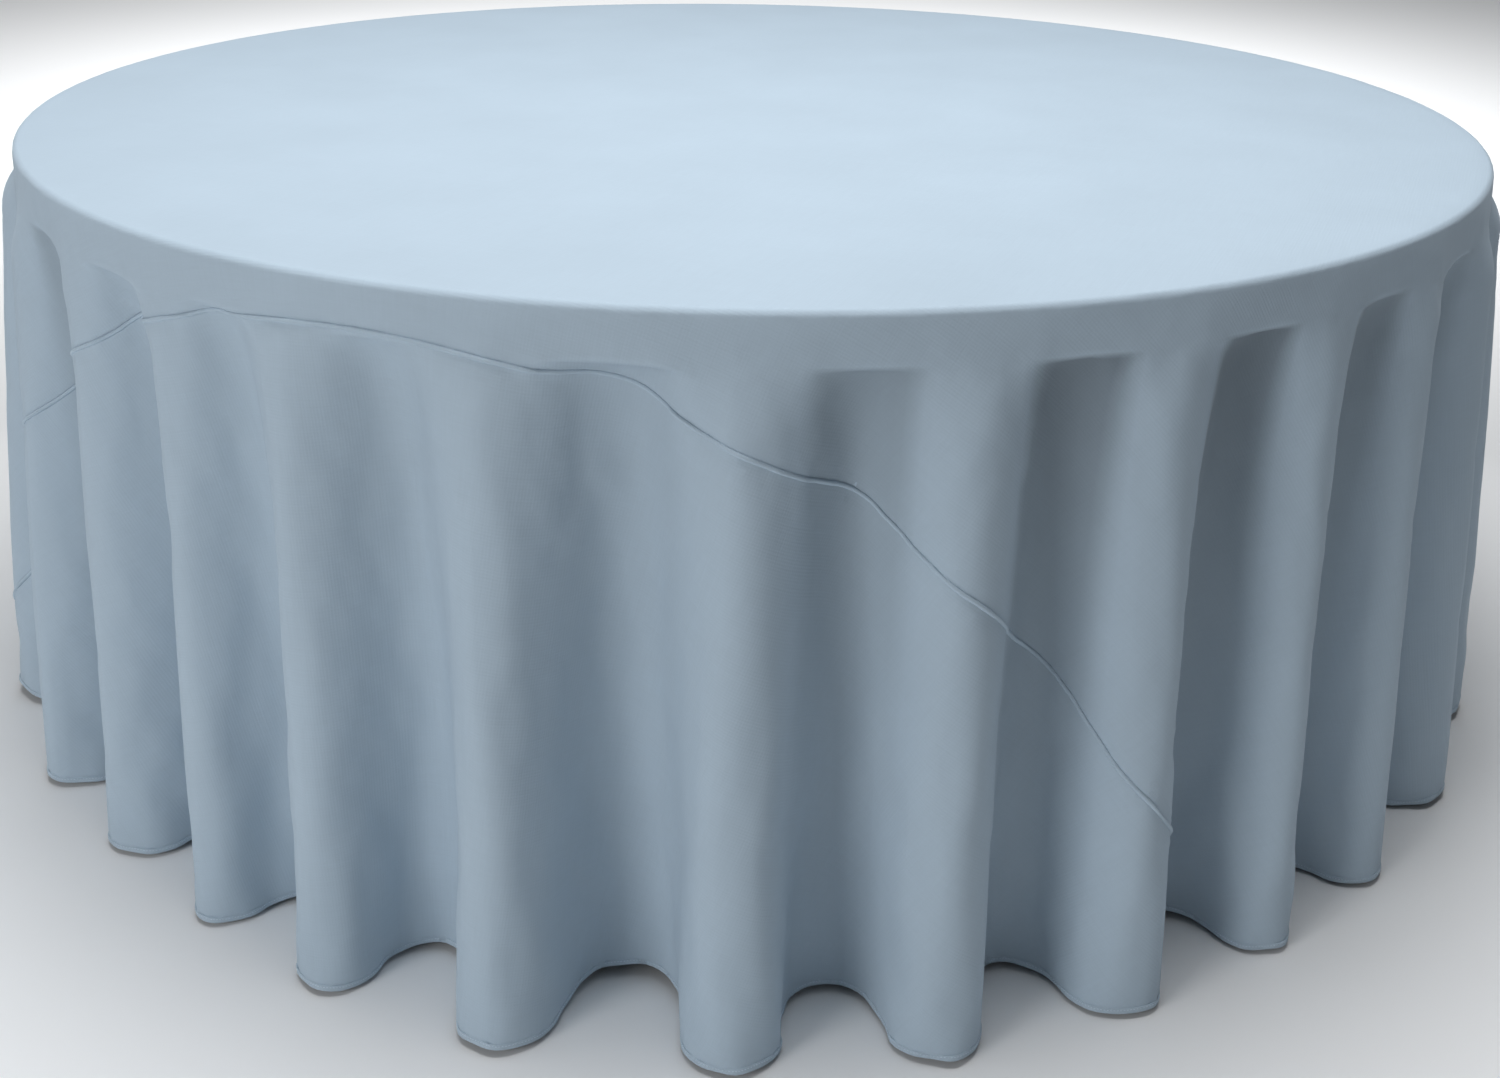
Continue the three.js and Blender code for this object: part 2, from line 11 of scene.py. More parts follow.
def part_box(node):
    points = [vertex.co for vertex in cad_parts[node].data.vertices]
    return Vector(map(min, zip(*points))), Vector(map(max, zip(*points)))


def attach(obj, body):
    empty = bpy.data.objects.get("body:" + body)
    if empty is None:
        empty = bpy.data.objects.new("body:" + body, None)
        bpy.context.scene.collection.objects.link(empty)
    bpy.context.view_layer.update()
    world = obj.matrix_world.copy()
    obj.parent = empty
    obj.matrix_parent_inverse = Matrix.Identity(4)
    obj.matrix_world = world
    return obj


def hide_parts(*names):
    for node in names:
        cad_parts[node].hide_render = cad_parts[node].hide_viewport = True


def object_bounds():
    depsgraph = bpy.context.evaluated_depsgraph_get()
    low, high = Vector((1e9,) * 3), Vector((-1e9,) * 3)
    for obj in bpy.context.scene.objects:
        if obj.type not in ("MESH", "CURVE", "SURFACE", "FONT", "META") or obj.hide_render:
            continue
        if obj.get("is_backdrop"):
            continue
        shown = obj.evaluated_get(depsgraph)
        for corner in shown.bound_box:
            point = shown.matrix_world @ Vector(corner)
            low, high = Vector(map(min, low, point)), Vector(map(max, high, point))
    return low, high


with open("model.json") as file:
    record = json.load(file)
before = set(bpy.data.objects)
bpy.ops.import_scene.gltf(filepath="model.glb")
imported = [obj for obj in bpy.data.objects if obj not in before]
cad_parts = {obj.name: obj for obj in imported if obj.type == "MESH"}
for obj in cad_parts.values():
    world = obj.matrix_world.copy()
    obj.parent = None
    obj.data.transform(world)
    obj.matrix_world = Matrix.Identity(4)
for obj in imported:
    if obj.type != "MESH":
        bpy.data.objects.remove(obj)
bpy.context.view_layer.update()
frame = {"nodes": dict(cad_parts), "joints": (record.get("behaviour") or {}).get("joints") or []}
bpy.ops.object.select_all(action="DESELECT")
started = time.time()


def report(stage):
    print(f"{stage} ({time.time() - started:.0f} s)")


def fromHex(code):
    channels = [int(code[i:i + 2], 16) / 255 for i in (1, 3, 5)]
    return [c / 12.92 if c <= 0.04045 else ((c + 0.055) / 1.055) ** 2.4 for c in channels] + [1.0]


# One node with its settings, its fixed socket values and its links
def addNode(tree, kind, settings=None, values=None, links=None):
    node = tree.nodes.new(kind)
    for name, value in (settings or {}).items():
        setattr(node, name, value)
    for socket, value in (values or {}).items():
        node.inputs[socket].default_value = value
    for socket, source in (links or {}).items():
        tree.links.new(source, node.inputs[socket])
    return node


topLow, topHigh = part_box("top_panel")
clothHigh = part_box("tablecloth_centre_panel")[1]
tableTop = topHigh.z
tableRadius = (topHigh.x - topLow.x) / 2

# Camera, floor and light
view = {
    "lens": 40.353, "sensor": 36,
    "distance": 2.2687, "above": 0.428,    # from the middle of the table, and above the cloth
    "pitch": 25.446, "roll": 1.053,        # degrees, down and leaning
    "shiftX": 0.0026, "shiftY": 0.0026,
}

cameraData = bpy.data.cameras.new("camera")
cameraData.lens = view["lens"]
cameraData.sensor_width = view["sensor"]
cameraData.shift_x = view["shiftX"]
cameraData.shift_y = view["shiftY"]
cameraData.clip_start = 0.05
camera = bpy.data.objects.new("camera", cameraData)
bpy.context.collection.objects.link(camera)
tilt = Matrix.Rotation(math.radians(90 - view["pitch"]), 4, "X")
lean = Matrix.Rotation(math.radians(view["roll"]), 4, "Z")
camera.matrix_world = Matrix.Translation((0, -view["distance"], clothHigh.z + view["above"])) @ tilt @ lean
bpy.context.scene.camera = camera

studio = {
    "floorSize": 30, "floorColour": "#F4F5F6",
    "world": "#EEF3F8", "worldStrength": 0.13,
    # size, power, place and aim of each softbox
    "key": (2.2, 107, (0, -0.2, 3.5), (0, 0, 0.5)),
    "fill": (2.2, 90, (-3.6, -4.2, 1.9), (0, 0, 0.5)),
    "back": (3.6, 330, (0, 3.0, 3.0), (0, 6.8, 0.1)),
}

bpy.context.scene.view_settings.view_transform = "Standard"

bpy.ops.mesh.primitive_plane_add(size=studio["floorSize"], location=(0, 0, -0.0005))
floor = bpy.context.object
floor.name = "floor"
floorMaterial = bpy.data.materials.new("painted studio floor")
floorMaterial.use_nodes = True
floorShader = floorMaterial.node_tree.nodes["Principled BSDF"]
floorShader.inputs["Base Color"].default_value = fromHex(studio["floorColour"])
floorShader.inputs["Roughness"].default_value = 0.9
floor.data.materials.append(floorMaterial)
floor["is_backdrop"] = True

world = bpy.data.worlds.new("studio")
world.use_nodes = True
world.node_tree.nodes["Background"].inputs["Color"].default_value = fromHex(studio["world"])
world.node_tree.nodes["Background"].inputs["Strength"].default_value = studio["worldStrength"]
bpy.context.scene.world = world

for name in ("key", "fill", "back"):
    size, power, place, aim = studio[name]
    bpy.ops.object.light_add(type="AREA", location=place)
    lamp = bpy.context.object
    lamp.name = name + " light"
    lamp.data.shape = "DISK"
    lamp.data.size = size
    lamp.data.energy = power
    lamp.rotation_euler = (Vector(aim) - lamp.location).to_track_quat("-Z", "Y").to_euler()
bpy.ops.object.select_all(action="DESELECT")
report("camera, floor and light")

# The cloth, cut flat and laid over the table. Flat places are (distance, azimuth) from its middle.
cloth = {
    "radius": 1.67308,            # flat, middle to hem
    "flatRadius": 0.9084,         # lies flat on the table
    "edgeRound": 0.006,
    "rimDepth": 0.050,
    "rest": 0.0009,               # table's surface to the middle of the cloth
    "thickness": 0.0006,
    "tuck": 0.026, "tuckReach": 0.028,     # the valleys turn in sharply under the rim,
    "inward": 0.038, "inwardReach": 0.20,  # then fall in slowly towards the hem
    "sideSpread": 0.48,           # share of that fall which the sides do without, so they stand further out
    "flare": 0.18, "sideFlare": 0.06,      # steepest outward slope of the crests, and what the sides add
    "wander": 0.010,              # sideways drift of the folds on their way down, in radians
    "sway": 0.4, "swayTurns": 2.2,         # and back again, as a share of the wander and in half waves
    "rimGap": 0.0005,             # between the cloth and the rim, beyond the rest
    "phaseBlur": 90, "driftBlur": 300,     # in steps of the fine round
    "columns": 448,               # simulated
    "rowStep": 0.016, "creaseStep": 0.005,    # rows of it, and those about the rim's lower edge
}

# Azimuths of the folds' crests in degrees. The first eleven are the front's; the rest fill the round.
frontCrests = [-150.5, -139, -128.5, -117.8, -104.9, -90, -77.3, -64.8, -52.9, -41.3, -28.5]
random = np.random.default_rng(7)
gapCount = 18
steps = 1 + random.uniform(-0.16, 0.16, gapCount)
steps *= (360 - (frontCrests[-1] - frontCrests[0])) / steps.sum()
backCrests = [frontCrests[-1] + float(steps[:i + 1].sum()) for i in range(gapCount - 1)]
crests = np.radians(frontCrests + backCrests)
foldCount = len(crests)
valleyDepths = random.uniform(0.75, 1.25, foldCount)      # share of the inward fall in each valley
valleyShade = random.uniform(0.35, 0.75, foldCount)       # strength of the painted shade in each valley
# The valleys between the front's crests, set one by one: faint where the folds are shallow, full where deep
frontShade = [0.5, 0.15, 0.1, 0.12, 0.2, 0.6, 0.95, 1.0, 0.75, 0.4]
valleyShade[:len(frontShade)] = frontShade


# Fold phase at each azimuth: whole turns at the crests, half turns at the valleys
def foldPhase(azimuth):
    ring = np.concatenate([crests - 2 * math.pi, crests, crests + 2 * math.pi])
    count = np.arange(-foldCount, 2 * foldCount) * 2 * math.pi
    middles = (ring[1:] + ring[:-1]) / 2
    places = np.sort(np.concatenate([ring, middles]))
    phases = np.sort(np.concatenate([count, (count[1:] + count[:-1]) / 2]))
    return np.interp(azimuth, places, phases)


def smoothRound(values, width):
    kernel = np.hanning(2 * width + 3)[1:-1]
    kernel /= kernel.sum()
    wrapped = np.concatenate([values[-width:], values, values[:width]])
    return np.convolve(wrapped, kernel, mode="valid")


fine = 8192
fineAzimuth = -math.pi + 2 * math.pi * np.arange(fine) / fine
phase = foldPhase(fineAzimuth)
turns = smoothRound(np.gradient(phase, fineAzimuth), cloth["phaseBlur"])
turns *= foldCount / turns.mean()
phase = phase[0] + np.concatenate([[0], np.cumsum((turns[1:] + turns[:-1]) / 2)]) * 2 * math.pi / fine
skirtRadius = tableRadius + cloth["rest"]
bendRadius = cloth["edgeRound"] + cloth["rest"]
skirtStart = cloth["flatRadius"] + bendRadius * math.pi / 2


# Blends a value per valley round the table
def perValley(values):
    turn = phase / (2 * math.pi) - 0.5
    low = np.floor(turn).astype(int)
    share = turn - low
    share = share * share * (3 - 2 * share)
    return values[low % foldCount] * (1 - share) + values[(low + 1) % foldCount] * share


# One level ring of the skirt: radius and azimuth of each fine step round it
def foldRing(distance, valley, reach):
    def ring(swing):
        lean = swing * np.sin(phase)
        out = np.concatenate([[0], np.cumsum(-np.sin(lean))[:-1]]) * distance * 2 * math.pi / fine
        lows = np.unwrap(phase - math.pi)
        marks = [int(np.argmin(np.abs(lows - 2 * math.pi * k)))
                 for k in range(int(math.ceil(lows[0] / 2 / math.pi)), int(lows[-1] // (2 * math.pi)) + 1)]
        base = np.interp(np.arange(fine), marks, out[marks], period=fine)
        radius = valley + np.maximum(out - base, 0)
        along = np.cos(lean) * distance / radius
        return radius, along

    low, high = 0.0, 1.9
    for _ in range(26):
        swing = (low + high) / 2
        radius, along = ring(swing)
        if along.mean() > 1:
            low = swing
        else:
            high = swing
    swingOut = (radius - valley).max()
    radius, along = ring(swing * np.minimum(1, reach / swingOut))
    along /= along.mean()
    azimuth = np.concatenate([[0], np.cumsum((along[1:] + along[:-1]) / 2)]) * 2 * math.pi / fine - math.pi
    drift = smoothRound(azimuth - fineAzimuth, cloth["driftBlur"])
    return radius, azimuth - drift


# Distances of the skirt's rows, closer together about the rim's lower edge
def skirtRows(step, creaseStep):
    crease = skirtStart + cloth["rimDepth"] - cloth["edgeRound"]
    found = [skirtStart]
    while found[-1] < cloth["radius"]:
        near = math.exp(-((found[-1] - crease) / 0.02) ** 2)
        found.append(found[-1] + step - (step - creaseStep) * near)
    spread = (cloth["radius"] - skirtStart) / (found[-1] - skirtStart)
    return [skirtStart + (d - skirtStart) * spread for d in found]


def layCloth():
    rows = [cloth["flatRadius"] - d for d in (0.045, 0.03, 0.015)]
    rows += list(np.linspace(cloth["flatRadius"], skirtStart, 5))
    rows += skirtRows(cloth["rowStep"], cloth["creaseStep"])[1:]
    columns = cloth["columns"]
    azimuths = -math.pi + 2 * math.pi * np.arange(columns) / columns
    pick = np.arange(columns) * fine / columns
    places = np.zeros((len(rows), columns, 3))
    depths = perValley(valleyDepths) * (1 - cloth["sideSpread"] * np.cos(fineAzimuth) ** 2)
    drift = perValley(random.uniform(-1, 1, foldCount))
    wobble = perValley(random.uniform(-1, 1, foldCount))
    for index, distance in enumerate(rows):
        if distance <= skirtStart + 1e-9:
            turn = max(0.0, distance - cloth["flatRadius"]) / bendRadius
            radius = min(distance, cloth["flatRadius"]) + bendRadius * math.sin(turn)
            height = tableTop - cloth["edgeRound"] + bendRadius * math.cos(turn)
            places[index] = np.stack([radius * np.cos(azimuths), radius * np.sin(azimuths),
                                      np.full(columns, height)], axis=1)
            continue
        below = max(0.0, distance - skirtStart - cloth["rimDepth"] + cloth["edgeRound"])
        fall = cloth["inward"] * (1 - math.exp(-below / cloth["inwardReach"]))
        fall += cloth["tuck"] * (1 - math.exp(-below / cloth["tuckReach"]))
        down = distance - skirtStart
        reach = fall + (cloth["flare"] + cloth["sideFlare"] * np.cos(fineAzimuth) ** 2) * down
        radius, azimuth = foldRing(distance, skirtRadius + cloth["rimGap"] - fall * depths, reach)
        share = down / (cloth["radius"] - skirtStart)
        lean = cloth["wander"] * math.sin(math.pi / 2 * share) * drift
        sway = cloth["sway"] * cloth["wander"] * math.sin(cloth["swayTurns"] * math.pi * share) * wobble
        azimuth = azimuth + lean + sway
        radius = np.interp(pick, np.arange(fine), radius, period=fine)
        azimuth = azimuths + np.interp(pick, np.arange(fine), azimuth - fineAzimuth, period=fine)
        flat = np.stack([radius * np.cos(azimuth), radius * np.sin(azimuth)], axis=1)
        moved = ((flat - places[index - 1, :, :2]) ** 2).sum(axis=1)
        step = distance - rows[index - 1]
        places[index, :, :2] = flat
        drop = np.sqrt(np.maximum(step * step - moved, (0.5 * step) ** 2))
        places[index, :, 2] = places[index - 1, :, 2] - drop
    return np.array(rows), places


rows, places = layCloth()
report("cloth laid over the table")

# Simulated settling: gravity pulls the skirt down over the rim, with the flat cut as its rest shape
settle = {
    "frames": 20, "quality": 6, "share": 0.7,    # share of the settling that is kept
    "vertexMass": 0.001,
    "tension": 40, "compression": 10, "shear": 3, "bending": 0.25,
    "airDamping": 2.5, "gap": 0.001, "friction": 4,
    "inset": 0.0013,             # the form is this much inside the table, for the gap kept round it
    "tableEdges": 256,
    "heldRows": 4,               # rows on the flat top, which stay where they lie
}


def tableForm():
    depth = cloth["rimDepth"] - 2 * settle["inset"]
    bpy.ops.mesh.primitive_cylinder_add(vertices=settle["tableEdges"], radius=tableRadius - settle["inset"],
                                        depth=depth, end_fill_type="TRIFAN",
                                        location=(0, 0, tableTop - settle["inset"] - depth / 2))
    form = bpy.context.object
    form.name = "table form"
    bpy.ops.object.mode_set(mode="EDIT")
    bpy.ops.mesh.select_all(action="DESELECT")
    bpy.ops.object.mode_set(mode="OBJECT")
    for edge in form.data.edges:
        ends = [form.data.vertices[i].co for i in edge.vertices]
        edge.select = all(math.hypot(end.x, end.y) > 0.5 * tableRadius and end.z > 0 for end in ends)
    bpy.ops.object.mode_set(mode="EDIT")
    bpy.ops.mesh.select_mode(type="EDGE")
    bpy.ops.mesh.bevel(offset=cloth["edgeRound"], segments=4, affect="EDGES")
    bpy.ops.object.mode_set(mode="OBJECT")
    return form


def settleCloth(rows, places):
    count, columns = places.shape[:2]
    azimuths = -math.pi + 2 * math.pi * np.arange(columns) / columns
    index = np.arange(count * columns).reshape(count, columns)
    nextOne = np.roll(index, -1, axis=1)
    quads = np.stack([index[:-1], index[1:], nextOne[1:], nextOne[:-1]], axis=-1).reshape(-1, 4)
    mesh = bpy.data.meshes.new("cloth to settle")
    mesh.from_pydata(places.reshape(-1, 3).tolist(), [], quads.tolist())
    skirt = bpy.data.objects.new("cloth to settle", mesh)
    bpy.context.collection.objects.link(skirt)
    flat = np.zeros((count, columns, 3))
    flat[..., 0] = rows[:, None] * np.cos(azimuths)
    flat[..., 1] = rows[:, None] * np.sin(azimuths)
    skirt.shape_key_add(name="Basis")
    flatKey = skirt.shape_key_add(name="flat")
    flatKey.data.foreach_set("co", flat.astype(np.float32).ravel())
    held = skirt.vertex_groups.new(name="held")
    held.add(index[:settle["heldRows"]].ravel().tolist(), 1.0, "REPLACE")

    form = tableForm()
    bpy.context.view_layer.objects.active = form
    form.modifiers.new("Collision", "COLLISION")
    form.collision.thickness_outer = settle["gap"]
    form.collision.cloth_friction = settle["friction"]

    modifier = skirt.modifiers.new("Cloth", "CLOTH")
    fabric = modifier.settings
    fabric.quality = settle["quality"]
    fabric.mass = settle["vertexMass"]
    fabric.tension_stiffness = settle["tension"]
    fabric.compression_stiffness = settle["compression"]
    fabric.shear_stiffness = settle["shear"]
    fabric.bending_stiffness = settle["bending"]
    fabric.air_damping = settle["airDamping"]
    fabric.vertex_group_mass = "held"
    fabric.rest_shape_key = flatKey
    modifier.collision_settings.distance_min = settle["gap"]
    modifier.collision_settings.collision_quality = 3
    modifier.point_cache.frame_start = 1
    modifier.point_cache.frame_end = settle["frames"]
    scene = bpy.context.scene
    for step in range(1, settle["frames"] + 1):
        scene.frame_set(step)
    settled = skirt.evaluated_get(bpy.context.evaluated_depsgraph_get())
    moved = np.zeros(count * columns * 3, np.float32)
    settled.data.vertices.foreach_get("co", moved)
    scene.frame_set(1)
    for item in (skirt, form):
        bpy.data.objects.remove(item)
    return moved.reshape(count, columns, 3).astype(float)


places += settle["share"] * (settleCloth(rows, places) - places)
report("cloth settled")


# Where flat places of the cloth lie on the table, smooth between the settled rows and columns
def smoothWeights(share):
    square, cube = share ** 2, share ** 3
    return [(-share + 2 * square - cube) / 2, (2 - 5 * square + 3 * cube) / 2,
            (share + 4 * square - 3 * cube) / 2, (cube - square) / 2]


def drapeAt(distance, azimuth):
    distance, azimuth = np.broadcast_arrays(np.asarray(distance, float), np.asarray(azimuth, float))
    count, columns = places.shape[:2]
    inside = np.minimum(distance, rows[-1])
    row = np.interp(inside, rows, np.arange(count))
    column = (azimuth + math.pi) / (2 * math.pi) * columns
    row0 = np.clip(np.floor(row).astype(int), 0, count - 2)
    column0 = np.floor(column).astype(int)
    rowWeights = smoothWeights(row - row0)
    columnWeights = smoothWeights(column - column0)
    lie = np.zeros(distance.shape + (3,))
    for i, rowWeight in enumerate(rowWeights):
        picked = row0 + i - 1
        line = np.clip(picked, 0, count - 1)
        for j, columnWeight in enumerate(columnWeights):
            around = (column0 + j - 1) % columns
            point = places[line, around]
            past = (picked > count - 1)[..., None]
            point = np.where(past, 2 * places[-1, around] - places[-2, around], point)
            lie += (rowWeight * columnWeight)[..., None] * point
    level = distance < rows[0]
    lie[level] = np.stack([distance * np.cos(azimuth), distance * np.sin(azimuth),
                           np.full(distance.shape, tableTop + cloth["rest"])], axis=-1)[level]
    beyond = distance > rows[-1]
    if beyond.any():
        back = 0.004
        edge = drapeAt(np.full(beyond.sum(), rows[-1]), azimuth[beyond])
        before = drapeAt(np.full(beyond.sum(), rows[-1] - back), azimuth[beyond])
        lie[beyond] = edge + (edge - before) * ((distance[beyond] - rows[-1]) / back)[:, None]
    return lie


def clothNormal(distance, azimuth):
    nudge, poleGap = 0.0015, 0.02
    distance = np.maximum(distance, poleGap)
    out = drapeAt(distance + nudge, azimuth) - drapeAt(distance - nudge, azimuth)
    turn = nudge / distance
    sideways = drapeAt(distance, azimuth + turn) - drapeAt(distance, azimuth - turn)
    normal = np.cross(out, sideways)
    return normal / np.linalg.norm(normal, axis=-1, keepdims=True)


# Panels, cut flat from the round and joined along two straight seams
panels = {
    "seamDistance": 0.95508,      # flat, middle to each seam
    "seamAzimuth": -113,          # degrees, square to the front seam
    "columns": 672, "rowStep": 0.011, "creaseStep": 0.004,
    "hemFold": 0.001,             # the panels stop this far inside the hem's edge
    "seamCuts": (-0.012, -0.005, -0.0015, 0, 0.0015, 0.005, 0.012),
    "grooveDepth": 0.0006, "grooveWidth": 0.004,
    "shadeReach": 0.30,           # metres below the rim in which the painted shade fades
    "shadeEdge": (0.001, 0.004),  # how far above the rim's lower edge it starts, and how soon it is full
    "shadeFrom": 0.35, "shadeBlend": 0.45,    # how deep in a valley it starts, and how soon it is full
}
seamTurns = [math.radians(panels["seamAzimuth"]), math.radians(panels["seamAzimuth"]) + math.pi]


def flatRound():
    flat = bmesh.new()
    count = panels["columns"]
    rings = [(0.28, count // 16), (0.5, count // 8), (0.68, count // 4), (0.8, count // 2), (0.87, count)]
    rings += [(d, count) for d in (0.895, *np.linspace(cloth["flatRadius"], skirtStart, 6))]
    skirt = skirtRows(panels["rowStep"], panels["creaseStep"])[1:]
    rings += [(min(d, cloth["radius"] - panels["hemFold"]), count) for d in skirt]
    centre = flat.verts.new((0, 0, 0))
    before = None
    for distance, count in rings:
        ring = [flat.verts.new((distance * math.cos(a), distance * math.sin(a), 0))
                for a in (2 * math.pi * (i / count) for i in range(count))]
        for i in range(count):
            after = (i + 1) % count
            if before is None:
                flat.faces.new((centre, ring[i], ring[after]))
            elif len(before) == count:
                flat.faces.new((before[i], ring[i], ring[after], before[after]))
            elif i % 2 == 0:
                half, nextHalf = i // 2, (i // 2 + 1) % len(before)
                flat.faces.new((before[half], ring[i], ring[after]))
                flat.faces.new((before[half], ring[after], before[nextHalf]))
                flat.faces.new((before[nextHalf], ring[after], ring[(i + 2) % count]))
        before = ring
    return flat


def seamOffset(x, y, turn):
    return x * math.cos(turn) + y * math.sin(turn) - panels["seamDistance"]


# Where the warp and weft run: along the seams and across them
def weavePlace(x, y):
    turn = seamTurns[0]
    along = y * math.cos(turn) - x * math.sin(turn)
    across = x * math.cos(turn) + y * math.sin(turn)
    return np.stack([along, across], axis=-1)


# Painted shade: the valleys darken just below the rim, as thin cloth may with the table's shade behind it
def tableShade(azimuth, height):
    column = np.mod(azimuth - fineAzimuth[0], 2 * math.pi) / (2 * math.pi) * fine
    valley = np.interp(column, np.arange(fine + 1), np.append(valleyShare, valleyShare[0]))
    drop = topLow.z - height
    start = np.clip((drop + panels["shadeEdge"][0]) / panels["shadeEdge"][1], 0, 1)
    return valley * start * np.exp(-np.clip(drop, 0, None) / panels["shadeReach"])


valleyShare = np.clip((0.5 - 0.5 * np.cos(phase) - panels["shadeFrom"]) / panels["shadeBlend"], 0, 1)
valleyShare = valleyShare * valleyShare * (3 - 2 * valleyShare) * perValley(valleyShade)


def makePanel(name, keepSide):
    flat = flatRound()
    for turn in seamTurns:
        direction = Vector((math.cos(turn), math.sin(turn), 0))
        for offset in panels["seamCuts"]:
            bmesh.ops.bisect_plane(flat, geom=flat.verts[:] + flat.edges[:] + flat.faces[:], dist=1e-6,
                                   plane_co=direction * (panels["seamDistance"] + offset), plane_no=direction)
    unwanted = [f for f in flat.faces if not keepSide(f.calc_center_median())]
    bmesh.ops.delete(flat, geom=unwanted, context="FACES")
    mesh = bpy.data.meshes.new(name)
    flat.to_mesh(mesh)
    flat.free()
    panel = bpy.data.objects.new(name, mesh)
    bpy.context.collection.objects.link(panel)
    cut = np.zeros(len(mesh.vertices) * 3, np.float32)
    mesh.vertices.foreach_get("co", cut)
    cut = cut.reshape(-1, 3).astype(float)
    distance, azimuth = np.hypot(cut[:, 0], cut[:, 1]), np.arctan2(cut[:, 1], cut[:, 0])
    lie = drapeAt(distance, azimuth)
    sink = sum(np.exp(-(seamOffset(cut[:, 0], cut[:, 1], turn) / panels["grooveWidth"]) ** 2)
               for turn in seamTurns) * panels["grooveDepth"]
    lie -= clothNormal(distance, azimuth) * sink[:, None]
    # Painted shade, stored on each point for the cloth's material to darken it in the valleys below the rim
    paintedValleyShade = mesh.attributes.new("paintedValleyShade", "FLOAT", "POINT")
    paintedValleyShade.data.foreach_set("value", tableShade(azimuth, lie[:, 2]).astype(np.float32))
    uv = mesh.uv_layers.new(name="weave")
    loops = np.zeros(len(mesh.loops), np.int32)
    mesh.loops.foreach_get("vertex_index", loops)
    uv.data.foreach_set("uv", weavePlace(cut[:, 0], cut[:, 1])[loops].astype(np.float32).ravel())
    mesh.vertices.foreach_set("co", lie.astype(np.float32).ravel())
    mesh.update()
    wall = panel.modifiers.new("thickness", "SOLIDIFY")
    wall.thickness = cloth["thickness"]
    wall.offset = 0
    bpy.context.view_layer.objects.active = panel
    bpy.ops.object.modifier_apply(modifier="thickness")
    panel.select_set(True)
    bpy.ops.object.shade_smooth()
    panel.select_set(False)
    return panel


centrePanel = makePanel("tablecloth_centre", lambda c: all(seamOffset(c.x, c.y, t) < 0 for t in seamTurns))
frontPanel = makePanel("tablecloth_front_side", lambda c: seamOffset(c.x, c.y, seamTurns[0]) > 0)
backPanel = makePanel("tablecloth_back_side", lambda c: seamOffset(c.x, c.y, seamTurns[1]) > 0)
for panel in (centrePanel, frontPanel, backPanel):
    panel.data.calc_loop_triangles()
    print(panel.name, len(panel.data.loop_triangles), "triangles")
report("panels cut, draped and thickened")

# Sewing. A strip follows flat places over the draped cloth; its outline is (across, off the cloth) in metres.
hem = {
    "outline": [(-0.0066, 0.0003), (-0.0060, 0.0009), (-0.0046, 0.0007), (-0.0030, 0.0011),
                (-0.0010, 0.0011), (0.0000, 0.0005), (0.0000, -0.0005), (-0.0010, -0.0011),
                (-0.0060, -0.0010), (-0.0066, -0.0003)],
    "stations": 1320,
    "curl": 0.0007,               # small waves along the edge
    "stitchPitch": 0.0034, "stitchLength": 0.0023, "stitchWidth": 0.0008, "stitchIn": 0.0048,
    "stitchLift": 0.00095,
}
seam = {
    "ridge": [(0.0000, -0.0010), (0.0003, 0.0006), (0.0013, 0.0019), (0.0025, 0.0021),
              (0.0042, 0.0011), (0.0052, -0.0006)],
    "allowance": [(-0.0005, -0.0004), (-0.0100, -0.0004), (-0.0104, -0.0010), (-0.0100, -0.0016),
                  (-0.0005, -0.0017), (0.0002, -0.0010)],
    "stations": 460,
    "pucker": 0.0003, "puckerLength": 0.011,
    "hemMargin": 0.004,
}


def flatPolar(x, y):
    return np.hypot(x, y), np.arctan2(y, x)


def onCloth(x, y, lift):
    distance, azimuth = flatPolar(x, y)
    normal = clothNormal(np.minimum(distance, rows[-1]), azimuth)
    return drapeAt(distance, azimuth) + normal * lift[..., None]


def sewnMesh(name, points, faces, x, y):
    mesh = bpy.data.meshes.new(name)
    mesh.from_pydata(points.reshape(-1, 3).tolist(), [], faces)
    shell = bmesh.new()
    shell.from_mesh(mesh)
    bmesh.ops.recalc_face_normals(shell, faces=shell.faces[:])
    shell.to_mesh(mesh)
    shell.free()
    uv = mesh.uv_layers.new(name="weave")
    corners = np.zeros(len(mesh.loops), np.int32)
    mesh.loops.foreach_get("vertex_index", corners)
    uv.data.foreach_set("uv", weavePlace(x.ravel(), y.ravel())[corners].astype(np.float32).ravel())
    piece = bpy.data.objects.new(name, mesh)
    bpy.context.collection.objects.link(piece)
    mesh.polygons.foreach_set("use_smooth", [True] * len(mesh.polygons))
    return piece


def sewStrip(name, middles, across, outline, ruffle, closed):
    outline = np.array(outline)
    x = middles[:, None, 0] + across[:, None, 0] * outline[None, :, 0]
    y = middles[:, None, 1] + across[:, None, 1] * outline[None, :, 0]
    points = onCloth(x, y, outline[None, :, 1] + ruffle[:, None])
    count, sides = x.shape
    faces = []
    for i in range(count if closed else count - 1):
        after = (i + 1) % count
        for j in range(sides):
            k = (j + 1) % sides
            faces.append((i * sides + j, i * sides + k, after * sides + k, after * sides + j))
    if not closed:
        faces.append(tuple(range(sides)))
        faces.append(tuple((count - 1) * sides + j for j in range(sides)))
    return sewnMesh(name, points, faces, x, y)


def ripple(along, wavelengths, seed):
    drawn = np.random.default_rng(seed)
    waves = [np.sin(2 * math.pi * along / w + drawn.uniform(0, 2 * math.pi)) for w in wavelengths]
    return sum(waves) / len(wavelengths)


def around(count, distance):
    turn = 2 * math.pi * np.arange(count) / count
    outwards = np.stack([np.cos(turn), np.sin(turn)], axis=1)
    return outwards * distance, outwards, turn * distance


middles, outwards, along = around(hem["stations"], cloth["radius"])
girth = 2 * math.pi * cloth["radius"]
hemPiece = sewStrip("hem", middles, outwards, hem["outline"],
                    hem["curl"] * ripple(along, [girth / n for n in (61, 149, 263, 341)], 3), True)

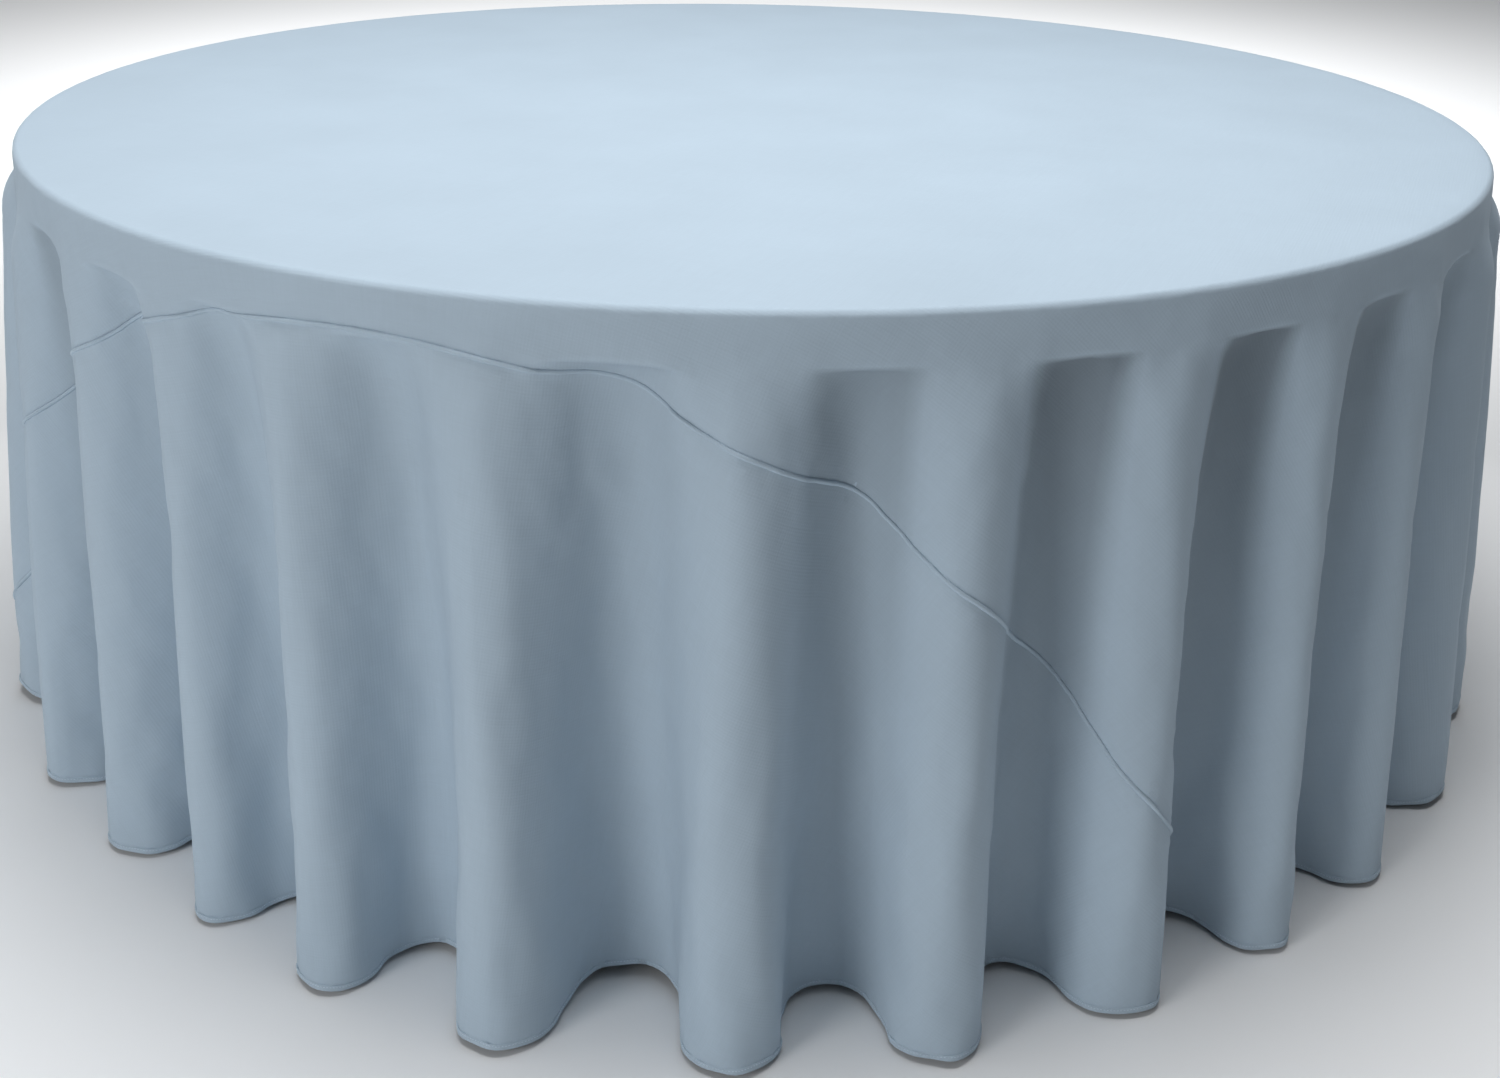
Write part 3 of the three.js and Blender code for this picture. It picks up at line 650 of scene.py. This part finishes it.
# The hem's stitches: one spindle of three rings and two points, laid again and again along the hem
stitchCount = round(girth / hem["stitchPitch"])
middles, outwards, along = around(stitchCount, cloth["radius"] - hem["stitchIn"])
sideways = np.stack([-outwards[:, 1], outwards[:, 0]], axis=1)
rings = [(-0.5, 0.0), (-0.36, 0.8), (0.0, 1.0), (0.36, 0.8), (0.5, 0.0)]
spindle = []
for reach, girthShare in rings:
    corners = [(0, 0)] if girthShare == 0 else [(1, 0), (0, 1), (-1, 0), (0, -1)]
    spindle += [(reach * hem["stitchLength"], girthShare * hem["stitchWidth"] / 2 * a,
                 girthShare * hem["stitchWidth"] / 2 * b) for a, b in corners]
spindle = np.array(spindle)
x = middles[:, None, 0] + sideways[:, None, 0] * spindle[:, 0] + outwards[:, None, 0] * spindle[:, 1]
y = middles[:, None, 1] + sideways[:, None, 1] * spindle[:, 0] + outwards[:, None, 1] * spindle[:, 1]
lift = np.broadcast_to(spindle[:, 2] + hem["stitchLift"], x.shape)
spindleFaces = [(0, 1 + i, 1 + (i + 1) % 4) for i in range(4)]
for ring in (1, 5):
    spindleFaces += [(ring + i, ring + 4 + i, ring + 4 + (i + 1) % 4, ring + (i + 1) % 4) for i in range(4)]
spindleFaces += [(13, 9 + (i + 1) % 4, 9 + i) for i in range(4)]
faces = [tuple(len(spindle) * n + corner for corner in face)
         for n in range(stitchCount) for face in spindleFaces]
stitching = sewnMesh("hem_stitching", onCloth(x, y, lift), faces, x, y)

halfSeam = math.sqrt(cloth["radius"] ** 2 - panels["seamDistance"] ** 2)
seamPieces = {}
for name, turn in zip(("front", "back"), seamTurns):
    along = np.linspace(-1, 1, seam["stations"]) * (halfSeam - seam["hemMargin"])
    normal = np.array([math.cos(turn), math.sin(turn)])
    middles = normal * panels["seamDistance"] + along[:, None] * np.array([-normal[1], normal[0]])
    across = np.broadcast_to(normal, middles.shape)
    ruffle = seam["pucker"] * ripple(along, [seam["puckerLength"] * n for n in (1, 1.7, 3.1)], 5)
    ridge = sewStrip(f"seam_{name}", middles, across, seam["ridge"], ruffle, False)
    allowance = sewStrip(f"seam_allowance_{name}", middles, across, seam["allowance"], ruffle * 0, False)
    seamPieces[name] = [ridge, allowance]
report("hem, stitching and seams sewn")

# Polyester poplin, piece-dyed: a matt plain weave with a faint bloom at glancing angles
fabric = {
    "colour": "#AFC0CE", "threads": 0.0016,    # threads drawn four times coarser than the real 0.4 mm
    "weaveRelief": 0.00008, "slubs": 0.045,
    "slubsAlong": 18, "slubsAcross": 420,      # per metre, along and across the yarn
    "paintedValleyShade": 0.40,         # how bright the cloth stays where the painted shade is full
}


def clothMaterial(name, colour, tone):
    weaveScale = 1 / fabric["threads"] / (2 * math.pi)
    material = bpy.data.materials.new(name)
    material.use_nodes = True
    tree = material.node_tree
    shader = tree.nodes["Principled BSDF"]
    place = addNode(tree, "ShaderNodeUVMap", {"uv_map": "weave"})
    warp = addNode(tree, "ShaderNodeTexWave", {"bands_direction": "X"},
                   {"Scale": weaveScale, "Distortion": 0.6, "Detail": 1.0,
                    "Detail Scale": 2.0}, {"Vector": place.outputs["UV"]})
    weft = addNode(tree, "ShaderNodeTexWave", {"bands_direction": "Y"},
                   {"Scale": weaveScale, "Distortion": 0.6, "Detail": 1.0,
                    "Detail Scale": 2.0}, {"Vector": place.outputs["UV"]})
    weave = addNode(tree, "ShaderNodeMath", {"operation": "ADD"}, None,
                    {0: warp.outputs["Fac"], 1: weft.outputs["Fac"]})
    long, short = fabric["slubsAlong"], fabric["slubsAcross"]
    alongWarp = addNode(tree, "ShaderNodeMapping", None, {"Scale": (long, short, 1)},
                        {"Vector": place.outputs["UV"]})
    alongWeft = addNode(tree, "ShaderNodeMapping", None, {"Scale": (short, long, 1)},
                        {"Vector": place.outputs["UV"]})
    warpSlubs = addNode(tree, "ShaderNodeTexNoise", None, {"Scale": 1.0, "Detail": 2.0},
                        {"Vector": alongWarp.outputs["Vector"]})
    weftSlubs = addNode(tree, "ShaderNodeTexNoise", None, {"Scale": 1.0, "Detail": 2.0},
                        {"Vector": alongWeft.outputs["Vector"]})
    slubs = addNode(tree, "ShaderNodeMath", {"operation": "ADD"}, None,
                    {0: warpSlubs.outputs["Fac"], 1: weftSlubs.outputs["Fac"]})
    cloudy = addNode(tree, "ShaderNodeTexNoise", None, {"Scale": 5.0, "Detail": 3.0},
                     {"Vector": place.outputs["UV"]})
    both = addNode(tree, "ShaderNodeMath", {"operation": "MULTIPLY_ADD"}, {1: 0.5},
                   {0: slubs.outputs["Value"], 2: cloudy.outputs["Fac"]})
    shade = addNode(tree, "ShaderNodeMapRange", None,
                    {"From Min": 0.6, "From Max": 1.4,
                     "To Min": tone - fabric["slubs"], "To Max": tone + fabric["slubs"]},
                    {"Value": both.outputs["Value"]})
    # Painted shade: the cloth's colour is darkened by the attribute written onto the panels, in the valleys
    # just below the rim
    paintedShadeMask = addNode(tree, "ShaderNodeAttribute", {"attribute_name": "paintedValleyShade"})
    dimmed = addNode(tree, "ShaderNodeMapRange", None, {"To Min": 1.0, "To Max": fabric["paintedValleyShade"]},
                     {"Value": paintedShadeMask.outputs["Fac"]})
    level = addNode(tree, "ShaderNodeMath", {"operation": "MULTIPLY"}, None,
                    {0: shade.outputs["Result"], 1: dimmed.outputs["Result"]})
    dyed = addNode(tree, "ShaderNodeHueSaturation", None, {"Color": fromHex(colour)},
                   {"Value": level.outputs["Value"]})
    rough = addNode(tree, "ShaderNodeMapRange", None,
                    {"From Min": 0.6, "From Max": 1.4, "To Min": 0.76, "To Max": 0.86},
                    {"Value": both.outputs["Value"]})
    bump = addNode(tree, "ShaderNodeBump", None, {"Strength": 0.5, "Distance": fabric["weaveRelief"]},
                   {"Height": weave.outputs["Value"]})
    yarnBump = addNode(tree, "ShaderNodeBump", None, {"Strength": 0.35, "Distance": 0.0003},
                    {"Height": slubs.outputs["Value"], "Normal": bump.outputs["Normal"]})
    tree.links.new(dyed.outputs["Color"], shader.inputs["Base Color"])
    tree.links.new(rough.outputs["Result"], shader.inputs["Roughness"])
    tree.links.new(yarnBump.outputs["Normal"], shader.inputs["Normal"])
    shader.inputs["IOR"].default_value = 1.57
    shader.inputs["Specular IOR Level"].default_value = 0.3
    shader.inputs["Sheen Weight"].default_value = 0.18
    shader.inputs["Sheen Roughness"].default_value = 0.45
    shader.inputs["Sheen Tint"].default_value = fromHex("#DCE8F2")
    return material


poplin = clothMaterial("dyed polyester poplin", fabric["colour"], 1.0)
# Spun polyester sewing thread: paler and a touch shinier than the cloth
thread = clothMaterial("spun polyester thread", "#C6D4E0", 1.12)
thread.node_tree.nodes["Principled BSDF"].inputs["Specular IOR Level"].default_value = 0.5

sewn = [hemPiece, *seamPieces["front"], *seamPieces["back"]]
for piece in (centrePanel, frontPanel, backPanel, *sewn):
    piece.data.materials.append(poplin)
stitching.data.materials.append(thread)
for piece in (centrePanel, frontPanel, backPanel, *sewn, stitching):
    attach(piece, "cloth")
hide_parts("tablecloth_centre_panel")
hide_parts("tablecloth_front_panel")
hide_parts("tablecloth_back_panel")

# The table under the cloth: its steel tubes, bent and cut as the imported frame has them
legs = {
    "tube": 0.0286, "bend": 0.060, "spread": 0.300,
    "crossbar": 0.022, "splay": 2,
    "sides": 32, "bendSteps": 12,
}


def alignedTo(direction):
    return Vector((0, 0, 1)).rotation_difference(direction).to_euler()


# A round bar starts as a capped circle facing the way it runs, and is drawn out from there
def startTube(name, place, direction, diameter):
    bpy.ops.object.select_all(action="DESELECT")
    bpy.ops.mesh.primitive_circle_add(vertices=legs["sides"], radius=diameter / 2, fill_type="NGON",
                                      location=place, rotation=alignedTo(direction))
    tube = bpy.context.object
    tube.name = name
    bpy.ops.object.transform_apply(location=True, rotation=True)
    bpy.ops.object.mode_set(mode="EDIT")
    bpy.ops.mesh.select_mode(type="FACE")
    bpy.ops.mesh.select_all(action="SELECT")
    return tube


def drawOut(step):
    bpy.ops.mesh.extrude_region_move(TRANSFORM_OT_translate={"value": step})


def endTube(tube):
    bpy.ops.mesh.select_all(action="SELECT")
    bpy.ops.mesh.remove_doubles(threshold=0.00005)
    bpy.ops.mesh.normals_make_consistent(inside=False)
    bpy.ops.object.mode_set(mode="OBJECT")
    bpy.ops.object.shade_smooth_by_angle(angle=math.radians(40))
    tube.select_set(False)
    return tube


tubes = []
for name, sign in (("right", 1), ("left", -1)):
    fold = next(j for j in frame["joints"] if j["name"] == f"leg_{name}_fold")
    pivot = Vector(fold["pos_m"])
    splay = math.radians(legs["splay"])
    down = Vector((sign * math.sin(splay), 0, -math.cos(splay)))
    across = Vector((0, 1, 0))
    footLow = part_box(f"leg_frame_{name}")[0].z
    length = (pivot.z - footLow) / math.cos(splay) - legs["tube"] / 2 * math.tan(splay)
    bend = legs["bend"]
    foot = pivot + down * length - across * legs["spread"]
    frameTube = startTube(f"leg_frame_{name}_tube", foot, -down, legs["tube"])
    drawOut(-down * (length - bend))
    axis = down.cross(across)
    for side in (-1, 1):
        bpy.ops.mesh.spin(steps=legs["bendSteps"], angle=math.pi / 2, axis=axis,
                          center=pivot + down * bend + across * side * (legs["spread"] - bend))
        drawOut(across * 2 * (legs["spread"] - bend) if side < 0 else down * (length - bend))
    endTube(frameTube)
    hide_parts(f"leg_frame_{name}")
    tubes.append((frameTube, f"leg_{name}"))
    for place in ("upper", "lower"):
        low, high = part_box(f"leg_crossbar_{place}_{name}")
        middle = (low + high) / 2
        bar = startTube(f"leg_crossbar_{place}_{name}_tube", Vector((middle.x, low.y, middle.z)), across,
                        legs["crossbar"])
        drawOut(across * (high.y - low.y))
        endTube(bar)
        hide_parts(f"leg_crossbar_{place}_{name}")
        tubes.append((bar, f"leg_{name}"))

board = {
    "rimWidth": 0.030, "deck": 0.030, "sides": 256,
    "edgeRound": 0.006, "edgeSteps": 5,
    "rimFoot": 0.003, "footSteps": 3,
}


def selectFaces(piece, test):
    bpy.ops.object.mode_set(mode="OBJECT")
    for face in piece.data.polygons:
        face.select = test(face)
    bpy.ops.object.mode_set(mode="EDIT")


def selectEdges(piece, test):
    bpy.ops.object.mode_set(mode="OBJECT")
    for face in piece.data.polygons:
        face.select = False
    for vertex in piece.data.vertices:
        vertex.select = False
    for edge in piece.data.edges:
        ends = [piece.data.vertices[i].co for i in edge.vertices]
        edge.select = test(ends)
    bpy.ops.object.mode_set(mode="EDIT")


def onRing(ends, radius, height):
    return all(abs(math.hypot(end.x, end.y) - radius) < 0.002 and abs(end.z - height) < 0.001 for end in ends)


def mouldedTop():
    depth = topHigh.z - topLow.z
    bpy.ops.object.select_all(action="DESELECT")
    bpy.ops.mesh.primitive_cylinder_add(vertices=board["sides"], radius=tableRadius, depth=depth,
                                        location=(0, 0, topLow.z + depth / 2))
    top = bpy.context.object
    top.name = "table_top"
    bpy.ops.object.transform_apply(location=True)
    bpy.ops.object.mode_set(mode="EDIT")
    bpy.ops.mesh.select_mode(type="FACE")
    selectFaces(top, lambda f: f.normal.z < -0.9)
    bpy.ops.mesh.inset(thickness=board["rimWidth"])
    bpy.ops.mesh.extrude_region_move(TRANSFORM_OT_translate={"value": (0, 0, depth - board["deck"])})
    bpy.ops.mesh.select_mode(type="EDGE")
    selectEdges(top, lambda ends: onRing(ends, tableRadius, topHigh.z))
    bpy.ops.mesh.bevel(offset=board["edgeRound"], segments=board["edgeSteps"], affect="EDGES")
    inner = tableRadius - board["rimWidth"]
    selectEdges(top, lambda ends: onRing(ends, tableRadius, topLow.z) or onRing(ends, inner, topLow.z)
                or onRing(ends, inner, topHigh.z - board["deck"]))
    bpy.ops.mesh.bevel(offset=board["rimFoot"], segments=board["footSteps"], affect="EDGES")
    bpy.ops.object.mode_set(mode="OBJECT")
    bpy.ops.object.shade_smooth_by_angle(angle=math.radians(35))
    top.select_set(False)
    return top


tableTopPiece = mouldedTop()
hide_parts("top_panel")
report("table top and tubes made")


# Finishes of the table. Each reads the piece's own place in metres. Grain is the size of its fine texture and
# relief its height, in metres; tint is how far its shade wanders; rough is its lowest and highest roughness.
def finish(name, colour, settings, grain, relief, tint, rough):
    material = bpy.data.materials.new(name)
    material.use_nodes = True
    tree = material.node_tree
    shader = tree.nodes["Principled BSDF"]
    place = addNode(tree, "ShaderNodeTexCoord")
    fineGrain = addNode(tree, "ShaderNodeTexNoise", None, {"Scale": 1 / grain, "Detail": 3.0},
                        {"Vector": place.outputs["Object"]})
    clouds = addNode(tree, "ShaderNodeTexNoise", None, {"Scale": 9.0, "Detail": 4.0},
                     {"Vector": place.outputs["Object"]})
    shade = addNode(tree, "ShaderNodeMapRange", None,
                    {"From Min": 0.3, "From Max": 0.7, "To Min": 1 - tint, "To Max": 1 + tint},
                    {"Value": clouds.outputs["Fac"]})
    coloured = addNode(tree, "ShaderNodeHueSaturation", None, {"Color": fromHex(colour)},
                       {"Value": shade.outputs["Result"]})
    roughness = addNode(tree, "ShaderNodeMapRange", None,
                        {"From Min": 0.3, "From Max": 0.7, "To Min": rough[0], "To Max": rough[1]},
                        {"Value": clouds.outputs["Fac"]})
    bump = addNode(tree, "ShaderNodeBump", None, {"Strength": 0.6, "Distance": relief},
                   {"Height": fineGrain.outputs["Fac"]})
    tree.links.new(coloured.outputs["Color"], shader.inputs["Base Color"])
    tree.links.new(roughness.outputs["Result"], shader.inputs["Roughness"])
    tree.links.new(bump.outputs["Normal"], shader.inputs["Normal"])
    for socket, value in settings.items():
        shader.inputs[socket].default_value = value
    return material


# Blow-moulded polyethylene: waxy off-white with the mould's fine pebble
polyethylene = finish("blow-moulded polyethylene", "#D6D5CE", {"IOR": 1.54},
                      0.0022, 0.00025, 0.03, (0.5, 0.62))
# Powder coat on steel: an even mid grey with a soft orange peel
powderCoat = finish("grey powder coat on steel", "#74797D",
                    {"IOR": 1.5, "Coat Weight": 0.15, "Coat Roughness": 0.3},
                    0.0016, 0.00006, 0.02, (0.38, 0.5))
# Bright zinc plate: silvery with cloudy passivation
zincPlate = finish("bright zinc plate", "#C3C8CC", {"Metallic": 1.0}, 0.0009, 0.00002, 0.06, (0.25, 0.42))
# Moulded foot caps: soft black rubber with a dusty, worn face
footRubber = finish("moulded black rubber", "#27282A", {"IOR": 1.52}, 0.0012, 0.00012, 0.12, (0.72, 0.9))

for node, piece in frame["nodes"].items():
    if node.startswith("tablecloth"):
        continue
    if "screw" in node or "rivet" in node or node.startswith("leg_saddle"):
        material = zincPlate
    elif node.startswith("foot_cap"):
        material = footRubber
    elif node == "top_panel":
        material = polyethylene
    else:
        material = powderCoat
    piece.data.materials.clear()
    piece.data.materials.append(material)

tableTopPiece.data.materials.append(polyethylene)
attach(tableTopPiece, "table")
for tube, body in tubes:
    tube.data.materials.append(powderCoat)
    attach(tube, body)
report("finishes given")

low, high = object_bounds()
report("finished")
